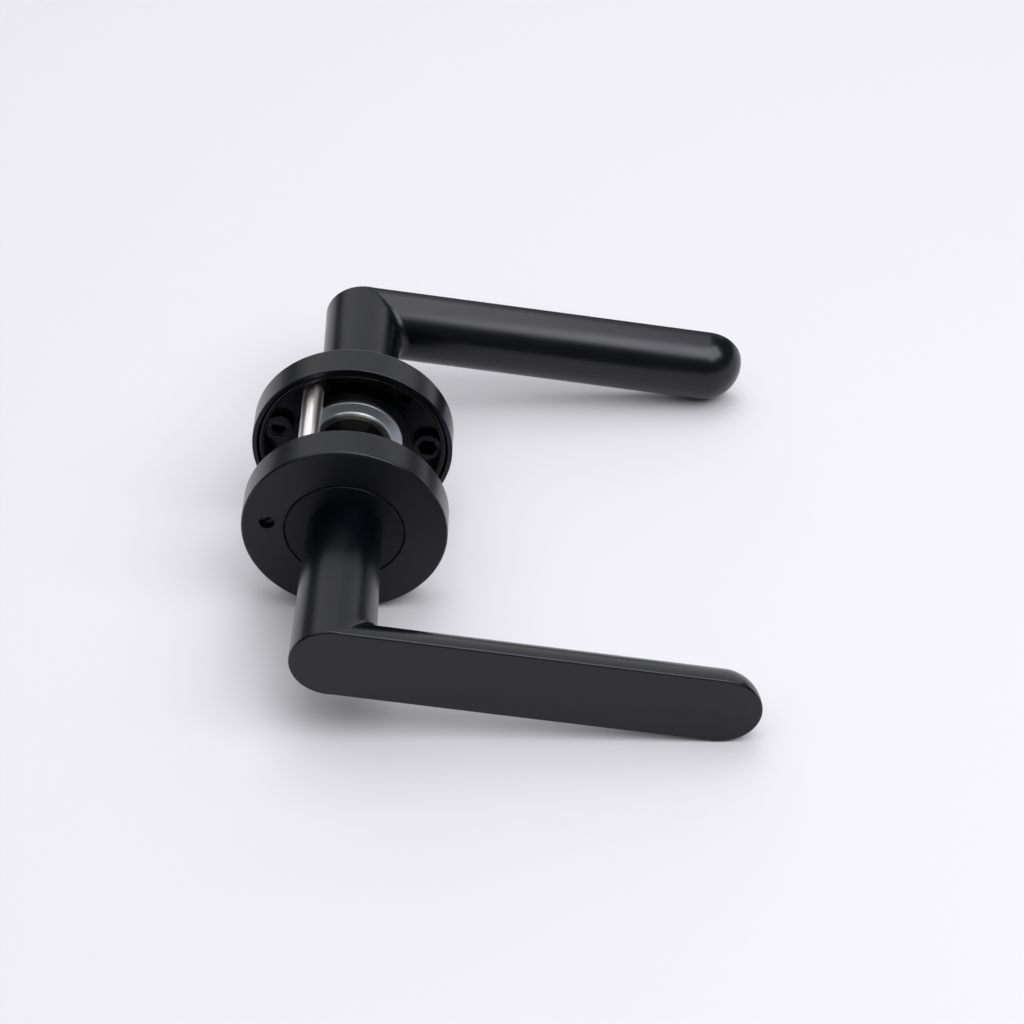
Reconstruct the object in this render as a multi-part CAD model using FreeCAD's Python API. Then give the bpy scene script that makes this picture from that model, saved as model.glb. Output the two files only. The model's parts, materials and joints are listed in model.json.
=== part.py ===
import FreeCAD, Part
import math
import os

# Sprung lever handle set on round roses, closed up on its square spindle.
# Origin: on the spindle axis, midway between the two rose backs.
# +X runs along both levers towards their tips, +Y from the outside half to the inside half, +Z is up.
#
# Each half is drawn in its installed place on the +Y side, where a depth is the distance from the
# door face outwards. The outside half has the same pieces: the lever, its grub screw and the sub-rose
# are of the opposite hand, and the others are turned half a turn about +Z.

V = FreeCAD.Vector
ORIGIN = V(0, 0, 0)
X_AXIS = V(1, 0, 0)
Y_AXIS = V(0, 1, 0)
Z_AXIS = V(0, 0, 1)
SAME = 1e-3                    # how near two lengths must be to count as one

# Driving dimensions (mm)
ROSE_RADIUS = 27.0
ROSE_THICKNESS = 9.2
DOOR_GAP = 24.8                # between the rose backs as closed up
PROJECTION = 58.6              # door face to the lever's flat face
ARM_RADIUS = 10.8              # half the width of the half-round arm
ARM_LENGTH = 97.9              # spindle axis to the centre of the rounded tip
BOLT_CIRCLE = 38.0
BOLT_ANGLE = 50.0              # screw and bolt holes, above and below the horizontal
SPINDLE_SIDE = 8.0
SPINDLE_LENGTH = 100.0
SPINDLE_CHAMFER = 0.3

# Lever
ARM_AXIS_SETBACK = 0.25        # bar centre line behind the flat face
FACE_EDGE_ROUND = 0.6
NECK_RADIUS_AT_ROSE = 9.9
NECK_RADIUS_AT_FACE = 10.9
NECK_FILLET = 2.5
SPIGOT_RADIUS = 9.2
SPIGOT_END = 0.9
SPIGOT_MOUTH_RADIUS = 7.8
SPIGOT_MOUTH_FLOOR_RADIUS = 6.9
SPIGOT_MOUTH_DEPTH = 2.0
SOCKET_SIDE = 8.2
SOCKET_BOTTOM = 42.0
KEY_WIDTH = 3.0
KEY_RADIUS = 10.2
KEY_TOP = 8.6

# Rose cover and the collar flush with it
COVER_WALL = 1.2
COVER_FACE = 1.3
COVER_EDGE_ROUND = 0.7
COVER_REAR_ROUND = 0.25
COLLAR_RADIUS = 15.5
COLLAR_GAP = 0.35
COLLAR_CHAMFER = 0.15

# Sub-rose
SUB_ROSE_RADIUS = 25.4
SUB_ROSE_RIM = 1.6
SUB_ROSE_REAR = 0.5
SUB_ROSE_FRONT = 7.6
FLOOR_REAR = 6.4
CUP_INNER_RADIUS = 14.6
CUP_WALL = 1.2
CUP_REAR = 3.9
CUP_FLOOR = 1.0
RIM_ROUND = 0.6
NIB_WIDTH = 5.0
NIB_DEPTHS = (3.0, 4.6)
NIB_ANGLES = (22.5, 112.5, 202.5, 292.5)

# Through bolts: threaded posts on the outside half, M4 screws from the inside half.
# The screws hold in the posts while the roses move apart to a 35 mm door.
POST_RADIUS = 2.75
POST_BORE_RADIUS = 2.1
POST_BORE_DEPTH = 15.9
POST_SEAT_RADIUS = 3.05
POST_END_GAP = 0.3
POST_ROOT_RADIUS = 3.0
POST_ROOT_LENGTH = 1.8
POST_SPIGOT_RADIUS = 2.1
POST_HEAD_RADIUS = 3.3
POST_HEAD_HEIGHT = 1.0
POST_TIP_RADIUS = 2.45
POST_TIP_LENGTH = 1.4
BOSS_RADIUS = 4.5
BOSS_REAR = 4.9
POST_SHOULDER = 5.5
SCREW_SEAT = 6.3
SCREW_HOLE_RADIUS = 2.2
SCREW_HEAD_POCKET_RADIUS = 3.9
SCREW_RADIUS = 1.95
SCREW_HEAD_RADIUS = 3.6
SCREW_HEAD_HEIGHT = 1.25
SCREW_LENGTH = 16.0
SCREW_HEX = 2.5
SCREW_HEX_DEPTH = 1.2

# Wood screw holes on the other diagonal
WOOD_HOLE_RADIUS = 1.8
WOOD_EDGE_RADIUS = 2.5

# Hexagon guides for the privacy pins
GUIDE_RADIUS_FROM_AXIS = 20.3
GUIDE_BOSS_RADIUS = 4.15
GUIDE_REAR = 4.3
GUIDE_FLOOR = 0.6
GUIDE_HEX = 4.9
GUIDE_POCKET_RADIUS = 3.35
GUIDE_EDGE_ROUND = 0.25
PIN_HEX = 4.6
PIN_FLANGE_RADIUS = 3.1
PIN_FLANGE_DEPTHS = (6.9, 7.6)
RELEASE_NOSE_RADIUS = 1.75
RELEASE_NOSE_END = 7.8
RELEASE_SLOT = 0.7
RELEASE_HOLE_RADIUS = 2.05
BUTTON_RADIUS = 2.3
BUTTON_END = 12.4
BUTTON_DOME = 0.9
BUTTON_HOLE_RADIUS = 2.65
PIN_REAR = 4.6
PIN_BORE_HEX = 3.9
PIN_BORE_END = 6.4

# Bearing, spring and stops
BUSH_CLEARANCE = 0.05
BUSH_RADIUS = 10.5
BUSH_TOP = 5.4
WASHER_RADIUS = 13.4
WASHER_DISH_RADIUS = 10.6
WASHER_THICKNESS = 0.8
WASHER_REAR_EDGE = 3.0
WASHER_LAND = 1.9
WASHER_LIP = 1.0
WASHER_STEP = 0.35
WASHER_EDGE_ROUND = 0.3
WASHER_PLAY = 0.1
CIRCLIP_REAR = 1.1
CIRCLIP_RADIUS = 10.6
CIRCLIP_GROOVE_RADIUS = 8.5
CIRCLIP_GAP = 6.0
CIRCLIP_EAR_RADIUS = 1.5
CIRCLIP_EAR_HOLE = 0.6
CIRCLIP_EAR_INSET = 0.6
CIRCLIP_EAR_STANDOFF = 1.4
SPRING_WIRE = 1.6
SPRING_RADIUS = 11.7
SPRING_DEPTH = 6.2
SPRING_LEG_END = 14.3
SPRING_BEND = 1.2
SPRING_LEG_PLAY = 0.1
LUG_HALF_ANGLE = 9.0
DRIVE_LUG_RADII = (12.7, 13.4)
DRIVE_LUG_REAR = 5.2
FIXED_LUG_INNER = 13.6
STOP_LUG_RADII = (12.8, 14.3)
STOP_REAR = 6.5
STOP_BLOCK_INNER = 12.9
TURN_LIMIT = 45.0
STOP_CLEARANCE_ANGLE = 1.2
STOP_BLOCK_ANGLE = 10.0

# Grub screws
GRUB_DEPTH = 14.0
GRUB_RADIUS = 2.5
GRUB_LENGTH = 5.0
GRUB_HEX = 2.5
GRUB_HEX_DEPTH = 2.5
GRUB_GAP = 0.1

# Button spring
BUTTON_SPRING_WIRE = 0.35
BUTTON_SPRING_RADIUS = 2.95
BUTTON_SPRING_TURNS = 2

# Worked out from the above
DOOR_FACE = DOOR_GAP / 2
FLAT_FACE = DOOR_FACE + PROJECTION
COVER_INNER_RADIUS = ROSE_RADIUS - COVER_WALL
COLLAR_REAR = ROSE_THICKNESS - COVER_FACE
CUP_RADIUS = CUP_INNER_RADIUS + CUP_WALL
BOLT_ACROSS = BOLT_CIRCLE / 2 * math.cos(math.radians(BOLT_ANGLE))
BOLT_UP = BOLT_CIRCLE / 2 * math.sin(math.radians(BOLT_ANGLE))
DOWN = -90.0
UP = 90.0


# Small building blocks, all in the inside half's place

def cylinder(radius, depth_from, depth_to, x=0.0, z=0.0):
    """A cylinder along Y between two depths."""
    base = V(x, DOOR_FACE + depth_from, z)
    return Part.makeCylinder(radius, depth_to - depth_from, base, Y_AXIS)


def tube(outer, inner, depth_from, depth_to, x=0.0, z=0.0):
    """A ring along Y between two depths."""
    hole = cylinder(inner, depth_from, depth_to, x, z)
    return cylinder(outer, depth_from, depth_to, x, z).cut(hole)


def hexagon(across_flats, depth_from, depth_to, x=0.0, z=0.0):
    """A hexagonal bar along Y, a flat side up."""
    corner = across_flats / math.sqrt(3)
    points = []
    for step in range(7):
        angle = math.radians(60 * step)
        across = corner * math.cos(angle)
        up = corner * math.sin(angle)
        points.append(V(x + across, DOOR_FACE + depth_from, z + up))
    return Part.Face(Part.makePolygon(points)).extrude(Y_AXIS * (depth_to - depth_from))


def turned(profile):
    """Revolve a closed outline of (radius, depth) points about the spindle axis."""
    points = [V(radius, DOOR_FACE + depth, 0) for radius, depth in profile]
    outline = Part.makePolygon(points + points[:1])
    return Part.Face(outline).revolve(ORIGIN, Y_AXIS, 360)


def sector(inner, outer, depth_from, depth_to, centre_angle, half_angle):
    """A piece of a ring. Angles are in the XZ plane from +X towards +Z."""
    start = math.radians(centre_angle - half_angle)
    end = math.radians(centre_angle + half_angle)
    middle = math.radians(centre_angle)

    def at(radius, angle):
        return V(radius * math.cos(angle), DOOR_FACE + depth_from, radius * math.sin(angle))

    edges = [
        Part.Arc(at(outer, start), at(outer, middle), at(outer, end)).toShape(),
        Part.LineSegment(at(outer, end), at(inner, end)).toShape(),
        Part.Arc(at(inner, end), at(inner, middle), at(inner, start)).toShape(),
        Part.LineSegment(at(inner, start), at(outer, start)).toShape(),
    ]
    return Part.Face(Part.Wire(edges)).extrude(Y_AXIS * (depth_to - depth_from))


def circle_edges(shape, radius, depth):
    """The round edges of one radius about the spindle axis at one depth."""
    found = []
    for edge in shape.Edges:
        curve = edge.Curve
        if not isinstance(curve, Part.Circle):
            continue
        if abs(curve.Radius - radius) < SAME and abs(curve.Center.y - DOOR_FACE - depth) < SAME:
            found.append(edge)
    return found


def outside(shape):
    """The same piece on the outside half: half a turn about +Z."""
    copy = shape.copy()
    copy.rotate(ORIGIN, Z_AXIS, 180)
    return copy


def mirrored(shape):
    """The opposite-hand piece on the outside half."""
    return shape.mirror(ORIGIN, Y_AXIS)


# Lever, its fixing and what is carried on its spigot

def lever():
    """Half-round arm with a flat front face, tapered neck, and the spigot that runs in the sub-rose."""
    arm_axis = FLAT_FACE - ARM_AXIS_SETBACK
    arm = Part.makeCylinder(ARM_RADIUS, ARM_LENGTH, V(0, arm_axis, 0), X_AXIS)
    tip = Part.makeSphere(ARM_RADIUS, ORIGIN, X_AXIS)
    tip.translate(V(ARM_LENGTH, arm_axis, 0))
    arm = arm.fuse(tip).removeSplitter()
    neck_length = PROJECTION - ROSE_THICKNESS
    neck_base = V(0, DOOR_FACE + ROSE_THICKNESS, 0)
    neck = Part.makeCone(NECK_RADIUS_AT_ROSE, NECK_RADIUS_AT_FACE, neck_length, neck_base, Y_AXIS)
    front_waste = Part.makeBox(4 * ARM_LENGTH, ARM_RADIUS * 2, 4 * ARM_RADIUS,
                               V(-2 * ARM_LENGTH, FLAT_FACE, -2 * ARM_RADIUS))
    body = arm.fuse(neck).cut(front_waste).removeSplitter()
    body = rounded_neck_joint(body)
    spigot = cylinder(SPIGOT_RADIUS, SPIGOT_END, ROSE_THICKNESS)
    key = Part.makeBox(KEY_WIDTH, KEY_TOP - COLLAR_REAR, KEY_RADIUS,
                       V(-KEY_WIDTH / 2, DOOR_FACE + COLLAR_REAR, 0))
    body = body.fuse(spigot).fuse(key)
    mouth_floor = SPIGOT_END + SPIGOT_MOUTH_DEPTH
    mouth = turned([(0, SPIGOT_END), (SPIGOT_MOUTH_RADIUS, SPIGOT_END),
                    (SPIGOT_MOUTH_FLOOR_RADIUS, mouth_floor), (0, mouth_floor)])
    socket = Part.makeBox(SOCKET_SIDE, SOCKET_BOTTOM - SPIGOT_END, SOCKET_SIDE,
                          V(-SOCKET_SIDE / 2, DOOR_FACE + SPIGOT_END, -SOCKET_SIDE / 2))
    groove = tube(SPIGOT_RADIUS + 1, CIRCLIP_GROOVE_RADIUS, CIRCLIP_REAR, WASHER_LAND)
    grub_centre = V(0, DOOR_FACE + GRUB_DEPTH, 0)
    grub_hole = Part.makeCylinder(GRUB_RADIUS, 2 * NECK_RADIUS_AT_FACE, grub_centre, -Z_AXIS)
    return body.cut(mouth).cut(socket).cut(groove).cut(grub_hole)


def rounded_neck_joint(body):
    """Round the inside corner where neck and arm meet, and break the flat face's edge."""
    joint = []
    for edge in body.Edges:
        if edge.Degenerated or isinstance(edge.Curve, (Part.Line, Part.Circle)):
            continue
        if 0 < edge.BoundBox.XMax < 2 * ARM_RADIUS and edge.BoundBox.YMin < FLAT_FACE - ARM_RADIUS / 2:
            joint.append(edge)
    body = body.makeFillet(NECK_FILLET, joint)
    rim = [edge for edge in body.Edges if edge.BoundBox.YMin > FLAT_FACE - SAME]
    return body.makeFillet(FACE_EDGE_ROUND, rim)


def grub_screw():
    """Cup-point socket screw that holds the spindle from below."""
    top = -SPINDLE_SIDE / 2 - GRUB_GAP
    centre = V(0, DOOR_FACE + GRUB_DEPTH, top)
    screw = Part.makeCylinder(GRUB_RADIUS, GRUB_LENGTH, centre, -Z_AXIS)
    corner = GRUB_HEX / math.sqrt(3)
    points = []
    for step in range(7):
        angle = math.radians(60 * step)
        points.append(centre + V(corner * math.cos(angle), corner * math.sin(angle), -GRUB_LENGTH))
    socket = Part.Face(Part.makePolygon(points)).extrude(Z_AXIS * GRUB_HEX_DEPTH)
    return screw.cut(socket)


def drive_collar():
    """Disc flush with the cover's face, keyed to the lever, with its drive lug and stop lug behind."""
    collar = tube(COLLAR_RADIUS, SPIGOT_RADIUS, COLLAR_REAR, ROSE_THICKNESS)
    collar = collar.makeChamfer(COLLAR_CHAMFER, circle_edges(collar, COLLAR_RADIUS, ROSE_THICKNESS))
    keyway = Part.makeBox(KEY_WIDTH, KEY_TOP - COLLAR_REAR, KEY_RADIUS,
                          V(-KEY_WIDTH / 2, DOOR_FACE + COLLAR_REAR, 0))
    drive_lug = sector(*DRIVE_LUG_RADII, DRIVE_LUG_REAR, COLLAR_REAR, DOWN, LUG_HALF_ANGLE)
    stop_lug = sector(*STOP_LUG_RADII, STOP_REAR, COLLAR_REAR, UP, LUG_HALF_ANGLE)
    return collar.cut(keyway).fuse(drive_lug).fuse(stop_lug)


def thrust_washer():
    """Dished washer that holds the lever in against the cup."""
    back = CUP_REAR - WASHER_PLAY
    washer = turned([(SPIGOT_RADIUS, WASHER_LAND), (WASHER_DISH_RADIUS, WASHER_LAND),
                     (WASHER_DISH_RADIUS + WASHER_STEP, WASHER_LAND + WASHER_STEP),
                     (WASHER_RADIUS, WASHER_REAR_EDGE), (WASHER_RADIUS, back),
                     (WASHER_RADIUS - WASHER_LIP, back), (WASHER_DISH_RADIUS, WASHER_LAND + WASHER_THICKNESS),
                     (SPIGOT_RADIUS, WASHER_LAND + WASHER_THICKNESS)])
    return washer.makeFillet(WASHER_EDGE_ROUND, circle_edges(washer, WASHER_RADIUS, WASHER_REAR_EDGE))


def circlip():
    """External circlip with two eared ends, its gap downwards."""
    ring = tube(CIRCLIP_RADIUS, CIRCLIP_GROOVE_RADIUS, CIRCLIP_REAR, WASHER_LAND)
    gap = Part.makeBox(CIRCLIP_GAP, WASHER_LAND, 2 * CIRCLIP_RADIUS,
                       V(-CIRCLIP_GAP / 2, DOOR_FACE, -2 * CIRCLIP_RADIUS))
    ring = ring.cut(gap)
    ear_x = CIRCLIP_GAP / 2 + CIRCLIP_EAR_INSET
    ear_z = -(CIRCLIP_GROOVE_RADIUS + CIRCLIP_EAR_STANDOFF)
    for x in (-ear_x, ear_x):
        ring = ring.fuse(cylinder(CIRCLIP_EAR_RADIUS, CIRCLIP_REAR, WASHER_LAND, x, ear_z))
        ring = ring.cut(cylinder(CIRCLIP_EAR_HOLE, CIRCLIP_REAR, WASHER_LAND, x, ear_z))
    return ring.cut(cylinder(CIRCLIP_GROOVE_RADIUS, CIRCLIP_REAR, WASHER_LAND))


# Rose

def rose_cover(pin_hole_x, pin_hole_radius):
    """Pressed cover with a small hole over one privacy guide."""
    shell = turned([(ROSE_RADIUS, 0), (ROSE_RADIUS, ROSE_THICKNESS),
                    (COLLAR_RADIUS + COLLAR_GAP, ROSE_THICKNESS),
                    (COLLAR_RADIUS + COLLAR_GAP, COLLAR_REAR),
                    (COVER_INNER_RADIUS, COLLAR_REAR), (COVER_INNER_RADIUS, 0)])
    shell = shell.makeFillet(COVER_EDGE_ROUND, circle_edges(shell, ROSE_RADIUS, ROSE_THICKNESS))
    shell = shell.makeFillet(COVER_REAR_ROUND, circle_edges(shell, ROSE_RADIUS, 0))
    shell = shell.makeChamfer(COLLAR_CHAMFER, circle_edges(shell, COLLAR_RADIUS + COLLAR_GAP, ROSE_THICKNESS))
    return shell.cut(cylinder(pin_hole_radius, COLLAR_REAR, ROSE_THICKNESS, pin_hole_x))


def sub_rose():
    """Cast mounting plate: rim, floor, spring cup, two bolt bosses, two wood screw holes, two pin guides."""
    rim = tube(SUB_ROSE_RADIUS, SUB_ROSE_RADIUS - SUB_ROSE_RIM, SUB_ROSE_REAR, SUB_ROSE_FRONT)
    rear_edges = circle_edges(rim, SUB_ROSE_RADIUS - SUB_ROSE_RIM, SUB_ROSE_REAR)
    rear_edges += circle_edges(rim, SUB_ROSE_RADIUS, SUB_ROSE_REAR)
    rim = rim.makeFillet(RIM_ROUND, rear_edges)
    floor = tube(SUB_ROSE_RADIUS - SUB_ROSE_RIM, CUP_INNER_RADIUS, FLOOR_REAR, SUB_ROSE_FRONT)
    cup_wall = tube(CUP_RADIUS, CUP_INNER_RADIUS, CUP_REAR, SUB_ROSE_FRONT)
    cup_floor = tube(CUP_INNER_RADIUS, BUSH_RADIUS, CUP_REAR, CUP_REAR + CUP_FLOOR)
    plate = rim.fuse([floor, cup_wall, cup_floor])
    inner_zone = cylinder(SUB_ROSE_RADIUS, SUB_ROSE_REAR, SUB_ROSE_FRONT)
    inner_zone = inner_zone.cut(cylinder(CUP_INNER_RADIUS, SUB_ROSE_REAR, SUB_ROSE_FRONT))
    for x, z in bolt_places():
        plate = plate.fuse(cylinder(BOSS_RADIUS, BOSS_REAR, SUB_ROSE_FRONT, x, z).common(inner_zone))
    for x in (-GUIDE_RADIUS_FROM_AXIS, GUIDE_RADIUS_FROM_AXIS):
        plate = plate.fuse(guide_boss(x).common(inner_zone))
    for angle in NIB_ANGLES:
        plate = plate.fuse(snap_nib(angle))
    fixed_lug = sector(FIXED_LUG_INNER, CUP_INNER_RADIUS, CUP_REAR, SUB_ROSE_FRONT, DOWN, LUG_HALF_ANGLE)
    plate = plate.fuse(fixed_lug)
    block_angle = LUG_HALF_ANGLE + TURN_LIMIT + STOP_CLEARANCE_ANGLE + STOP_BLOCK_ANGLE / 2
    for side in (-1, 1):
        block = sector(STOP_BLOCK_INNER, CUP_INNER_RADIUS, STOP_REAR, SUB_ROSE_FRONT,
                       UP + side * block_angle, STOP_BLOCK_ANGLE / 2)
        plate = plate.fuse(block)
    return cut_sub_rose_holes(plate).removeSplitter()


def bolt_places():
    """The two through bolts: upper left and lower right as seen from outside."""
    return [(-BOLT_ACROSS, BOLT_UP), (BOLT_ACROSS, -BOLT_UP)]


def wood_screw_places():
    return [(BOLT_ACROSS, BOLT_UP), (-BOLT_ACROSS, -BOLT_UP)]


def guide_boss(x):
    """Round boss of a pin guide, its rear edge broken."""
    boss = cylinder(GUIDE_BOSS_RADIUS, GUIDE_REAR, SUB_ROSE_FRONT, x)
    rear = [edge for edge in boss.Edges if edge.BoundBox.YMax < DOOR_FACE + GUIDE_REAR + SAME]
    return boss.makeFillet(GUIDE_EDGE_ROUND, rear)


def snap_nib(angle):
    """One of the low ribs that the cover snaps over."""
    half_angle = math.degrees(NIB_WIDTH / 2 / COVER_INNER_RADIUS)
    return sector(SUB_ROSE_RADIUS - SUB_ROSE_RIM / 2, COVER_INNER_RADIUS, *NIB_DEPTHS, angle, half_angle)


def cut_sub_rose_holes(plate):
    for x, z in bolt_places():
        plate = plate.cut(cylinder(POST_SEAT_RADIUS, BOSS_REAR, POST_SHOULDER, x, z))
        plate = plate.cut(cylinder(SCREW_HOLE_RADIUS, BOSS_REAR, SUB_ROSE_FRONT, x, z))
        plate = plate.cut(cylinder(SCREW_HEAD_POCKET_RADIUS, SCREW_SEAT, SUB_ROSE_FRONT, x, z))
    for x, z in wood_screw_places():
        plate = plate.cut(cylinder(WOOD_HOLE_RADIUS, 0, SUB_ROSE_FRONT, x, z))
        edge_depth = WOOD_EDGE_RADIUS - WOOD_HOLE_RADIUS
        edge_base = V(x, DOOR_FACE + SUB_ROSE_FRONT - edge_depth, z)
        plate = plate.cut(Part.makeCone(WOOD_HOLE_RADIUS, WOOD_EDGE_RADIUS, edge_depth, edge_base, Y_AXIS))
    for x in (-GUIDE_RADIUS_FROM_AXIS, GUIDE_RADIUS_FROM_AXIS):
        plate = plate.cut(hexagon(GUIDE_HEX, GUIDE_REAR, SUB_ROSE_FRONT, x))
        plate = plate.cut(cylinder(GUIDE_POCKET_RADIUS, GUIDE_REAR + GUIDE_FLOOR, SUB_ROSE_FRONT, x))
    return plate


def bearing_bush():
    """Plain bush pressed in the cup, in which the lever's spigot turns."""
    return tube(BUSH_RADIUS, SPIGOT_RADIUS + BUSH_CLEARANCE, CUP_REAR, BUSH_TOP)


def return_spring():
    """Open ring of spring wire whose two legs stand either side of the fixed and the moving lug."""
    leg_angle = LUG_HALF_ANGLE + math.degrees((SPRING_WIRE / 2 + SPRING_LEG_PLAY) / DRIVE_LUG_RADII[0])
    depth = DOOR_FACE + SPRING_DEPTH

    def at(radius, angle):
        return V(radius * math.cos(math.radians(angle)), depth, radius * math.sin(math.radians(angle)))

    bend_angle = math.degrees(SPRING_BEND / SPRING_RADIUS)
    right = DOWN + leg_angle
    left = DOWN - leg_angle + 360
    corner = 1 - math.cos(math.radians(45))
    edges = [Part.LineSegment(at(SPRING_LEG_END, right), at(SPRING_RADIUS + SPRING_BEND, right)).toShape()]
    edges.append(Part.Arc(at(SPRING_RADIUS + SPRING_BEND, right),
                          at(SPRING_RADIUS + corner * SPRING_BEND, right + corner * bend_angle),
                          at(SPRING_RADIUS, right + bend_angle)).toShape())
    edges.append(Part.Arc(at(SPRING_RADIUS, right + bend_angle), at(SPRING_RADIUS, UP),
                          at(SPRING_RADIUS, left - bend_angle)).toShape())
    edges.append(Part.Arc(at(SPRING_RADIUS, left - bend_angle),
                          at(SPRING_RADIUS + corner * SPRING_BEND, left - corner * bend_angle),
                          at(SPRING_RADIUS + SPRING_BEND, left)).toShape())
    edges.append(Part.LineSegment(at(SPRING_RADIUS + SPRING_BEND, left), at(SPRING_LEG_END, left)).toShape())
    path = Part.Wire(edges)
    direction = at(1, right) - at(0, right)
    section = Part.Wire(Part.makeCircle(SPRING_WIRE / 2, at(SPRING_LEG_END, right), direction))
    return path.makePipeShell([section], True, True)


# Through bolts and spindle

def bolt_posts():
    """Two threaded posts staked in the outside sub-rose, reaching to just short of the inside one."""
    posts = []
    shoulder = -(DOOR_FACE + POST_SHOULDER)
    tip = DOOR_FACE + POST_SHOULDER - POST_END_GAP
    for x, z in bolt_places():
        post = Part.makeCylinder(POST_RADIUS, tip - shoulder - POST_TIP_LENGTH, V(x, shoulder, z), Y_AXIS)
        taper = Part.makeCone(POST_RADIUS, POST_TIP_RADIUS, POST_TIP_LENGTH,
                              V(x, tip - POST_TIP_LENGTH, z), Y_AXIS)
        spigot = Part.makeCylinder(POST_SPIGOT_RADIUS, SCREW_SEAT - POST_SHOULDER, V(x, shoulder, z), -Y_AXIS)
        head = Part.makeCylinder(POST_HEAD_RADIUS, POST_HEAD_HEIGHT,
                                 V(x, -(DOOR_FACE + SCREW_SEAT), z), -Y_AXIS)
        bore = Part.makeCylinder(POST_BORE_RADIUS, POST_BORE_DEPTH, V(x, tip, z), -Y_AXIS)
        root = Part.makeCylinder(POST_ROOT_RADIUS, POST_ROOT_LENGTH, V(x, shoulder, z), Y_AXIS)
        posts.append(post.fuse([taper, root, spigot, head]).cut(bore))
    return Part.makeCompound(posts)


def bolt_screws():
    """Two socket screws through the inside sub-rose into the posts."""
    screws = []
    for x, z in bolt_places():
        head = cylinder(SCREW_HEAD_RADIUS, SCREW_SEAT, SCREW_SEAT + SCREW_HEAD_HEIGHT, x, z)
        shank = Part.makeCylinder(SCREW_RADIUS, SCREW_LENGTH, V(x, DOOR_FACE + SCREW_SEAT, z), -Y_AXIS)
        end = SCREW_SEAT + SCREW_HEAD_HEIGHT
        socket = hexagon(SCREW_HEX, end - SCREW_HEX_DEPTH, end, x, z)
        screws.append(head.fuse(shank).cut(socket))
    return Part.makeCompound(screws)


def spindle():
    bar = Part.makeBox(SPINDLE_SIDE, SPINDLE_LENGTH, SPINDLE_SIDE,
                       V(-SPINDLE_SIDE / 2, -SPINDLE_LENGTH / 2, -SPINDLE_SIDE / 2))
    return bar.makeChamfer(SPINDLE_CHAMFER, bar.Edges)


# Privacy pins

def privacy_pin(x, nose_radius, nose_end):
    """Hollow hexagonal stem, captive flange and round nose, guided in the sub-rose."""
    flange_rear, flange_front = PIN_FLANGE_DEPTHS
    stem = hexagon(PIN_HEX, PIN_REAR, flange_rear, x)
    flange = cylinder(PIN_FLANGE_RADIUS, flange_rear, flange_front, x)
    nose = cylinder(nose_radius, flange_front, nose_end, x)
    return stem.fuse(flange).fuse(nose).cut(hexagon(PIN_BORE_HEX, PIN_REAR, PIN_BORE_END, x))


def emergency_release_pin():
    """Slotted pin behind the small hole in the outside cover."""
    pin = privacy_pin(GUIDE_RADIUS_FROM_AXIS, RELEASE_NOSE_RADIUS, RELEASE_NOSE_END)
    slot = Part.makeBox(4 * RELEASE_NOSE_RADIUS, RELEASE_SLOT, RELEASE_SLOT,
                        V(-2 * RELEASE_NOSE_RADIUS, 0, -RELEASE_SLOT / 2))
    slot.rotate(ORIGIN, Y_AXIS, 45)
    slot.translate(V(GUIDE_RADIUS_FROM_AXIS, DOOR_FACE + RELEASE_NOSE_END - RELEASE_SLOT, 0))
    return outside(pin.cut(slot))


def privacy_button():
    """Push button that stands out of the inside cover."""
    button = privacy_pin(-GUIDE_RADIUS_FROM_AXIS, BUTTON_RADIUS, BUTTON_END)
    tip = [e for e in button.Edges if e.BoundBox.YMin > DOOR_FACE + BUTTON_END - SAME]
    return button.makeFillet(BUTTON_DOME, tip)


def privacy_button_spring():
    """Small compression spring under the button's flange."""
    rear = GUIDE_REAR + GUIDE_FLOOR + BUTTON_SPRING_WIRE / 2
    front = PIN_FLANGE_DEPTHS[0] - BUTTON_SPRING_WIRE / 2
    height = front - rear
    helix = Part.makeHelix(height / BUTTON_SPRING_TURNS, height, BUTTON_SPRING_RADIUS)
    section = Part.Wire(Part.makeCircle(BUTTON_SPRING_WIRE / 2, V(BUTTON_SPRING_RADIUS, 0, 0), Y_AXIS))
    coil = Part.Wire(helix).makePipeShell([section], True, True)
    coil.rotate(ORIGIN, X_AXIS, -90)
    coil.translate(V(-GUIDE_RADIUS_FROM_AXIS, DOOR_FACE + rear, 0))
    return coil


def all_nodes():
    pieces = {
        "inside_lever": lever(),
        "inside_grub_screw": grub_screw(),
        "inside_drive_collar": drive_collar(),
        "inside_thrust_washer": thrust_washer(),
        "inside_circlip": circlip(),
        "inside_rose_cover": rose_cover(-GUIDE_RADIUS_FROM_AXIS, BUTTON_HOLE_RADIUS),
        "inside_sub_rose": sub_rose(),
        "inside_bearing_bush": bearing_bush(),
        "inside_return_spring": return_spring(),
    }
    nodes = dict(pieces)
    for name in ("lever", "grub_screw", "sub_rose"):
        nodes["outside_" + name] = mirrored(pieces["inside_" + name])
    for name in ("drive_collar", "thrust_washer", "circlip", "bearing_bush", "return_spring"):
        nodes["outside_" + name] = outside(pieces["inside_" + name])
    nodes["outside_rose_cover"] = outside(rose_cover(GUIDE_RADIUS_FROM_AXIS, RELEASE_HOLE_RADIUS))
    nodes["spindle"] = spindle()
    nodes["bolt_posts"] = bolt_posts()
    nodes["bolt_screws"] = bolt_screws()
    nodes["emergency_release_pin"] = emergency_release_pin()
    nodes["privacy_button"] = privacy_button()
    nodes["privacy_button_spring"] = privacy_button_spring()
    return nodes


def main():
    os.makedirs("parts", exist_ok=True)
    for name, shape in all_nodes().items():
        if not shape.isValid():
            print("not valid:", name)
        print(name, len(shape.Solids), "solid(s),", round(shape.Volume, 1), "mm3")
        shape.exportStep("parts/" + name + ".step")


main()
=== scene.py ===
import json
import math

import bpy
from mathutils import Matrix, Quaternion, Vector


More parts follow.
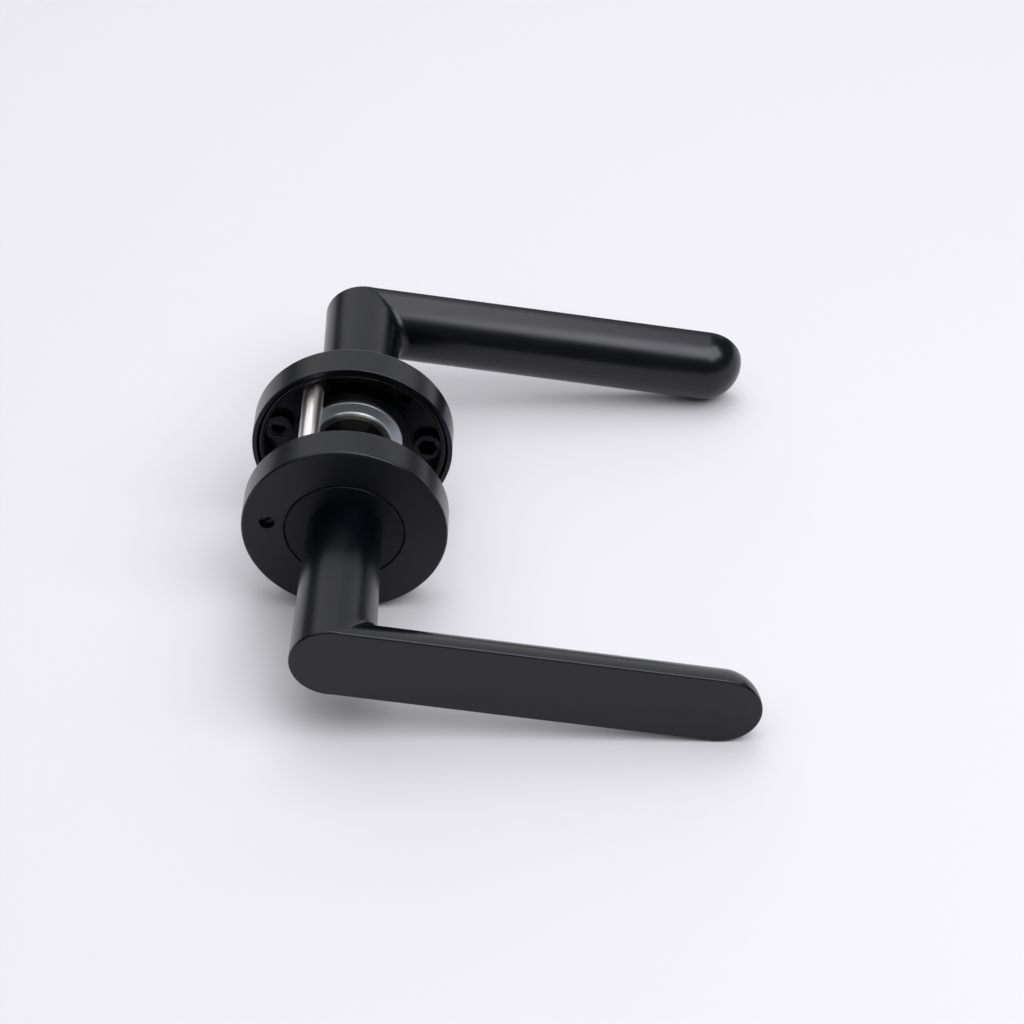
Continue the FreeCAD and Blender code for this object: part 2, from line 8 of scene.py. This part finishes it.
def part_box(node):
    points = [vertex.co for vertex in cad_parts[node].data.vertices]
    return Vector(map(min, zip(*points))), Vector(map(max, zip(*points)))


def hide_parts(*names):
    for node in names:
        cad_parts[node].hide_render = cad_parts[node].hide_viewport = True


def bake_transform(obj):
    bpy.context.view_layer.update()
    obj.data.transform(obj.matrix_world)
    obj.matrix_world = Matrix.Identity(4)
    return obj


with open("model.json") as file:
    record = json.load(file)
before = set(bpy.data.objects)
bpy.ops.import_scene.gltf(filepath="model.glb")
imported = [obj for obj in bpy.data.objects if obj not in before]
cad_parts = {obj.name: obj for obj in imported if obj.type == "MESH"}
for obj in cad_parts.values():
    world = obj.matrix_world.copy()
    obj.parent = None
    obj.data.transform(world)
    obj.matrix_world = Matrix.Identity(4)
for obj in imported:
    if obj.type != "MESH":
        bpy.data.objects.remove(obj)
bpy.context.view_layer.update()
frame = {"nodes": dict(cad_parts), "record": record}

# Camera: its aim point, and where it stands from there (degrees and metres)
AIM = Vector((0.04388, -0.00518, 0.0))
AZIMUTH = -6.337
ELEVATION = 40.80
ROLL = 11.41
DISTANCE = 0.7802
LENS = 103.12
SENSOR = 36.0

# The set lies on the rims of its roses and the tips of its levers, so the floor is tilted in
# this frame.
rose_low, rose_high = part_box("outside_rose_cover")
lever_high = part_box("outside_lever")[1]
ROSE_RADIUS = rose_high.z
ROSE_FACE = -rose_low.y
ARM_RADIUS = lever_high.z
TIP_CENTRE = lever_high.x - ARM_RADIUS
FLOOR_TILT = math.asin((ROSE_RADIUS - ARM_RADIUS) / TIP_CENTRE)
FLOOR_HALF = 1.6

# Light. Each softbox stands in the direction (degrees from +X towards +Y, and up) and at the
# distance (m) given, in the floor's own axes, with its size in metres and its brightness as
# radiance. A level one faces the floor straight below it, the others face the set.
FLOOR_COLOUR = (0.67, 0.661, 0.703)
FLOOR_ROUGHNESS = 0.85
BACKDROP_COLOUR = (0.86, 0.86, 0.91)
ROOM_LIGHT = 0.17
SOFTBOXES = {
    "overhead_softbox": {
        "turn": 180.0, "lift": 76.8, "distance": 1.54,
        "size": (2.65, 2.13), "radiance": 1.15, "level": True,
    },
    "strip_softbox": {
        "turn": 65.0, "lift": 77.0, "distance": 1.49,
        "size": (1.4, 0.7), "radiance": 1.9, "level": True,
    },
    "key_softbox": {
        "turn": 329.0, "lift": 52.0, "distance": 1.3,
        "size": (0.96, 0.73), "radiance": 4.3, "level": False,
    },
    "back_softbox": {
        "turn": 87.0, "lift": 24.0, "distance": 2.0,
        "size": (2.9, 1.5), "radiance": 0.90, "level": False,
    },
}

# Finishes: sizes and bump depths in metres; a cloud's or nylon's fineness per metre
COAT_TINT = (0.90, 0.90, 1.0, 1.0)
COAT_CLOUD = 70
COAT_GRAIN = 0.0006
COAT_GRAIN_DEPTH = 0.000004
CAST_GRAIN = 0.0012
CAST_GRAIN_DEPTH = 0.000008
WASHER_RING = 0.0003
WASHER_RING_DEPTH = 0.000001
LINE_DEPTH = 0.000004
SPINDLE_LINE_DEPTH = 0.000003
POST_STRETCH = 0.85
QUARTER_TURN = 0.25
POST_CLOUD = 900
POST_BUMP_DEPTH = 0.000001
NYLON_CLOUD = 250
NYLON_FINENESS = 1500
NYLON_BUMP_DEPTH = 0.000005

# How far behind the roses' outer faces their duller finish starts, and where it is full
FACE_STARTS = 0.0002
FACE_FULL = 0.00005

# The range that a noise value mostly keeps to
NOISE_LOW = 0.3
NOISE_HIGH = 0.7

# How much a finish's roughness varies, each way
SMALL_VARIATION = 0.02
METAL_VARIATION = 0.04


def from_floor(x, y, z):
    """A point given in the floor's axes, in the frame's axes."""
    along = Vector((math.cos(FLOOR_TILT), 0, math.sin(FLOOR_TILT)))
    normal = Vector((-math.sin(FLOOR_TILT), 0, math.cos(FLOOR_TILT)))
    return along * x + Vector((0, y, 0)) + normal * (z - ROSE_RADIUS)


# Node helpers

def start_material(name):
    material = bpy.data.materials.new(name)
    material.use_nodes = True
    tree = material.node_tree
    return material, tree, tree.nodes["Principled BSDF"]


def link(tree, source, target):
    tree.links.new(source, target)


def object_place(tree, scale=(1, 1, 1)):
    """The surface point in the frame's axes, stretched by scale."""
    coordinates = tree.nodes.new("ShaderNodeTexCoord")
    mapping = tree.nodes.new("ShaderNodeMapping")
    mapping.inputs["Scale"].default_value = scale
    link(tree, coordinates.outputs["Object"], mapping.inputs["Vector"])
    return mapping.outputs["Vector"]


def noise(tree, place, scale, detail=3.0):
    texture = tree.nodes.new("ShaderNodeTexNoise")
    texture.inputs["Scale"].default_value = scale
    texture.inputs["Detail"].default_value = detail
    link(tree, place, texture.inputs["Vector"])
    return texture.outputs["Fac"]


def spread(tree, value, low, high, from_low=NOISE_LOW, from_high=NOISE_HIGH):
    """Map a value, by default a noise value, onto low..high."""
    node = tree.nodes.new("ShaderNodeMapRange")
    node.inputs["From Min"].default_value = from_low
    node.inputs["From Max"].default_value = from_high
    node.inputs["To Min"].default_value = low
    node.inputs["To Max"].default_value = high
    link(tree, value, node.inputs["Value"])
    return node.outputs["Result"]


def varied(tree, value, middle, variation):
    """A roughness that a noise value moves about its middle."""
    return spread(tree, value, middle - variation, middle + variation)


def two_colours(tree, value, first, second):
    ramp = tree.nodes.new("ShaderNodeValToRGB")
    ramp.color_ramp.elements[0].position = NOISE_LOW
    ramp.color_ramp.elements[0].color = (*first, 1)
    ramp.color_ramp.elements[1].position = NOISE_HIGH
    ramp.color_ramp.elements[1].color = (*second, 1)
    link(tree, value, ramp.inputs["Fac"])
    return ramp.outputs["Color"]


def bump(tree, height, depth):
    node = tree.nodes.new("ShaderNodeBump")
    node.inputs["Distance"].default_value = depth
    link(tree, height, node.inputs["Height"])
    return node.outputs["Normal"]


def on_rose_face(tree, place, elsewhere, value):
    """The given value on the roses' flat outer faces, and another one elsewhere."""
    axes = tree.nodes.new("ShaderNodeSeparateXYZ")
    link(tree, place, axes.inputs["Vector"])
    depth = tree.nodes.new("ShaderNodeMath")
    depth.operation = "ABSOLUTE"
    link(tree, axes.outputs["Y"], depth.inputs[0])
    mask = spread(tree, depth.outputs["Value"], 0, 1, ROSE_FACE - FACE_STARTS, ROSE_FACE - FACE_FULL)
    mix = tree.nodes.new("ShaderNodeMix")
    link(tree, mask, mix.inputs["Factor"])
    link(tree, elsewhere, mix.inputs["A"])
    mix.inputs["B"].default_value = value
    return mix.outputs["Result"]


# Materials

def black_coat(name, dark, light, roughness, gloss,
               grain=COAT_GRAIN, grain_depth=COAT_GRAIN_DEPTH, flat_face=None):
    """Satin powder coat: a fine orange-peel skin and faint cloudiness.

    flat_face is the roughness of the roses' duller outer faces.
    """
    material, tree, shader = start_material(name)
    place = object_place(tree)
    cloud = noise(tree, place, COAT_CLOUD)
    peel = noise(tree, place, 1 / grain, detail=2)
    link(tree, two_colours(tree, cloud, dark, light), shader.inputs["Base Color"])
    dullness = varied(tree, cloud, roughness, SMALL_VARIATION)
    if flat_face is not None:
        dullness = on_rose_face(tree, place, dullness, flat_face)
    link(tree, dullness, shader.inputs["Roughness"])
    link(tree, bump(tree, peel, grain_depth), shader.inputs["Normal"])
    shader.inputs["Specular IOR Level"].default_value = gloss
    shader.inputs["Specular Tint"].default_value = COAT_TINT
    return material


def turned_metal(name, first, second, roughness):
    """Plated metal with faint rings about the spindle axis."""
    material, tree, shader = start_material(name)
    shader.inputs["Metallic"].default_value = 1.0
    distance = tree.nodes.new("ShaderNodeVectorMath")
    distance.operation = "LENGTH"
    link(tree, object_place(tree, (1, 0, 1)), distance.inputs[0])
    rings = tree.nodes.new("ShaderNodeTexNoise")
    rings.noise_dimensions = "1D"
    rings.inputs["Scale"].default_value = 1 / WASHER_RING
    rings.inputs["Detail"].default_value = 2
    link(tree, distance.outputs["Value"], rings.inputs["W"])
    value = rings.outputs["Fac"]
    link(tree, two_colours(tree, value, first, second), shader.inputs["Base Color"])
    link(tree, varied(tree, value, roughness, METAL_VARIATION), shader.inputs["Roughness"])
    link(tree, bump(tree, value, WASHER_RING_DEPTH), shader.inputs["Normal"])
    return material


def drawn_metal(name, first, second, roughness, stretch=(1500, 1500, 1500), line_depth=LINE_DEPTH):
    """Plated bar or wire with fine lines; stretch is the lines' fineness along each axis."""
    material, tree, shader = start_material(name)
    shader.inputs["Metallic"].default_value = 1.0
    lines = noise(tree, object_place(tree, stretch), 1.0, detail=2)
    link(tree, two_colours(tree, lines, first, second), shader.inputs["Base Color"])
    link(tree, varied(tree, lines, roughness, METAL_VARIATION), shader.inputs["Roughness"])
    link(tree, bump(tree, lines, line_depth), shader.inputs["Normal"])
    return material


def turned_post(name, first, second, roughness):
    """Plated bar with fine lathe lines around it, which stretch its reflections along it."""
    material, tree, shader = start_material(name)
    shader.inputs["Metallic"].default_value = 1.0
    shader.inputs["Anisotropic"].default_value = POST_STRETCH
    shader.inputs["Anisotropic Rotation"].default_value = QUARTER_TURN
    around = tree.nodes.new("ShaderNodeTangent")
    around.direction_type = "RADIAL"
    around.axis = "Y"
    link(tree, around.outputs["Tangent"], shader.inputs["Tangent"])
    cloud = noise(tree, object_place(tree), POST_CLOUD)
    link(tree, two_colours(tree, cloud, first, second), shader.inputs["Base Color"])
    link(tree, varied(tree, cloud, roughness, SMALL_VARIATION), shader.inputs["Roughness"])
    link(tree, bump(tree, cloud, POST_BUMP_DEPTH), shader.inputs["Normal"])
    return material


def nylon_plastic(name, dark, light, low_roughness, high_roughness):
    """Moulded nylon, slightly waxy."""
    material, tree, shader = start_material(name)
    place = object_place(tree)
    cloud = noise(tree, place, NYLON_CLOUD)
    grain = noise(tree, place, NYLON_FINENESS)
    link(tree, two_colours(tree, cloud, dark, light), shader.inputs["Base Color"])
    link(tree, spread(tree, cloud, low_roughness, high_roughness), shader.inputs["Roughness"])
    link(tree, bump(tree, grain, NYLON_BUMP_DEPTH), shader.inputs["Normal"])
    return material


def main_materials():
    """Each material slot's finish."""
    coat_colours = ((0.0005, 0.0009, 0.0020), (0.0008, 0.0013, 0.0030))
    cast_colours = ((0.0006, 0.0009, 0.0012), (0.0014, 0.0018, 0.0022))
    zinc_colours = ((0.40, 0.44, 0.47), (0.48, 0.52, 0.55))
    circlip_colours = ((0.20, 0.20, 0.20), (0.28, 0.27, 0.26))
    screw_colours = ((0.46, 0.47, 0.48), (0.56, 0.57, 0.58))
    # Painted shade: the release pin is coloured near black to stand for the shade in its hole, though
    # it is steel
    pin_painted_shade_colours = ((0.020, 0.020, 0.021), (0.034, 0.033, 0.032))
    post_colours = ((0.88, 0.84, 0.83), (0.92, 0.88, 0.87))
    spindle_colours = ((0.30, 0.28, 0.24), (0.38, 0.36, 0.31))
    spring_colours = ((0.30, 0.30, 0.31), (0.42, 0.42, 0.43))
    grub_colours = ((0.05, 0.05, 0.05), (0.08, 0.08, 0.08))
    bush_colours = ((0.010, 0.009, 0.008), (0.018, 0.016, 0.014))
    along_spindle = (3000, 120, 3000)
    return {
        "lever_black": black_coat("lever_black", *coat_colours, roughness=0.25, gloss=0.42),
        "rose_black": black_coat("rose_black", *coat_colours, roughness=0.26, gloss=0.40,
                                 flat_face=0.42),
        "collar_black": black_coat("collar_black", *coat_colours, roughness=0.42, gloss=0.30),
        "sub_rose_black": black_coat("sub_rose_black", *cast_colours, roughness=0.26, gloss=0.28,
                                     grain=CAST_GRAIN, grain_depth=CAST_GRAIN_DEPTH),
        "zinc_washer": turned_metal("zinc_washer", *zinc_colours, roughness=0.44),
        "circlip_steel": drawn_metal("circlip_steel", *circlip_colours, roughness=0.3),
        "screw_steel": drawn_metal("screw_steel", *screw_colours, roughness=0.28),
        # painted shade: the pin's near-black colour stands for the shade in its hole
        "pin_steel": drawn_metal("pin_steel", *pin_painted_shade_colours, roughness=0.35),
        "post_nickel": turned_post("post_nickel", *post_colours, roughness=0.32),
        "spindle_steel": drawn_metal("spindle_steel", *spindle_colours, roughness=0.3,
                                     stretch=along_spindle, line_depth=SPINDLE_LINE_DEPTH),
        "spring_steel": drawn_metal("spring_steel", *spring_colours, roughness=0.3),
        "grub_black": drawn_metal("grub_black", *grub_colours, roughness=0.4),
        "bush_nylon": nylon_plastic("bush_nylon", *bush_colours,
                                    low_roughness=0.40, high_roughness=0.50),
    }


def dress_nodes():
    materials = main_materials()
    for part in frame["record"]["subparts"]:
        node = frame["nodes"][part["node"]]
        node.data.materials.clear()
        node.data.materials.append(materials[part["material_slot"]])


def make_button_spring():
    """The privacy button's spring, between its rose and the button: a fixed copy of its part, with the
    part hidden.
    """
    node = "privacy_button_spring"
    coil = bpy.data.objects.new("button_spring_coil", frame["nodes"][node].data.copy())
    bpy.context.scene.collection.objects.link(coil)
    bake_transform(coil)
    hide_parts(node)


# Stage

def floor_material():
    """Matt pale board, seen from above only."""
    material, tree, shader = start_material("pale_floor")
    shader.inputs["Base Color"].default_value = (*FLOOR_COLOUR, 1)
    shader.inputs["Roughness"].default_value = FLOOR_ROUGHNESS
    geometry = tree.nodes.new("ShaderNodeNewGeometry")
    clear = tree.nodes.new("ShaderNodeBsdfTransparent")
    side = tree.nodes.new("ShaderNodeMixShader")
    link(tree, geometry.outputs["Backfacing"], side.inputs["Fac"])
    link(tree, shader.outputs["BSDF"], side.inputs[1])
    link(tree, clear.outputs["BSDF"], side.inputs[2])
    link(tree, side.outputs["Shader"], tree.nodes["Material Output"].inputs["Surface"])
    return material


def make_floor():
    half = FLOOR_HALF
    corners = [(-half, -half), (half, -half), (half, half), (-half, half)]
    mesh = bpy.data.meshes.new("floor")
    mesh.from_pydata([from_floor(x, y, 0) for x, y in corners], [], [(0, 1, 2, 3)])
    floor = bpy.data.objects.new("floor", mesh)
    bpy.context.scene.collection.objects.link(floor)
    mesh.materials.append(floor_material())


def make_world():
    """A pale backdrop to look at, which adds little light of its own."""
    world = bpy.data.worlds.new("studio")
    world.use_nodes = True
    tree = world.node_tree
    background = tree.nodes["Background"]
    background.inputs["Color"].default_value = (*BACKDROP_COLOUR, 1)
    rays = tree.nodes.new("ShaderNodeLightPath")
    strength = spread(tree, rays.outputs["Is Camera Ray"], ROOM_LIGHT, 1.0, 0.0, 1.0)
    link(tree, strength, background.inputs["Strength"])
    bpy.context.scene.world = world


def make_lights():
    for name, box in SOFTBOXES.items():
        width, height = box["size"]
        data = bpy.data.lights.new(name, "AREA")
        data.shape = "RECTANGLE"
        data.size = width
        data.size_y = height
        data.energy = box["radiance"] * math.pi * width * height
        lamp = bpy.data.objects.new(name, data)
        bpy.context.scene.collection.objects.link(lamp)
        turn = math.radians(box["turn"])
        lift = math.radians(box["lift"])
        out = Vector((math.cos(lift) * math.cos(turn), math.cos(lift) * math.sin(turn), math.sin(lift)))
        lamp.location = from_floor(*(out * box["distance"]))
        foot = out * box["distance"] if box["level"] else Vector((0, 0, 0))
        aim = from_floor(foot.x, foot.y, 0)
        lamp.rotation_mode = "QUATERNION"
        lamp.rotation_quaternion = (aim - lamp.location).to_track_quat("-Z", "Y")
        lamp.visible_camera = False


def make_camera():
    azimuth = math.radians(AZIMUTH)
    elevation = math.radians(ELEVATION)
    back = Vector((math.sin(azimuth) * math.cos(elevation),
                   -math.cos(azimuth) * math.cos(elevation),
                   math.sin(elevation)))
    data = bpy.data.cameras.new("camera")
    data.sensor_width = SENSOR
    data.lens = LENS
    camera = bpy.data.objects.new("camera", data)
    bpy.context.scene.collection.objects.link(camera)
    camera.location = AIM + back * DISTANCE
    camera.rotation_mode = "QUATERNION"
    upright = (-back).to_track_quat("-Z", "Y")
    camera.rotation_quaternion = upright @ Quaternion((0, 0, 1), math.radians(ROLL))
    bpy.context.scene.camera = camera


bpy.context.scene.view_settings.view_transform = "Standard"
dress_nodes()
make_button_spring()
make_floor()
make_world()
make_lights()
make_camera()
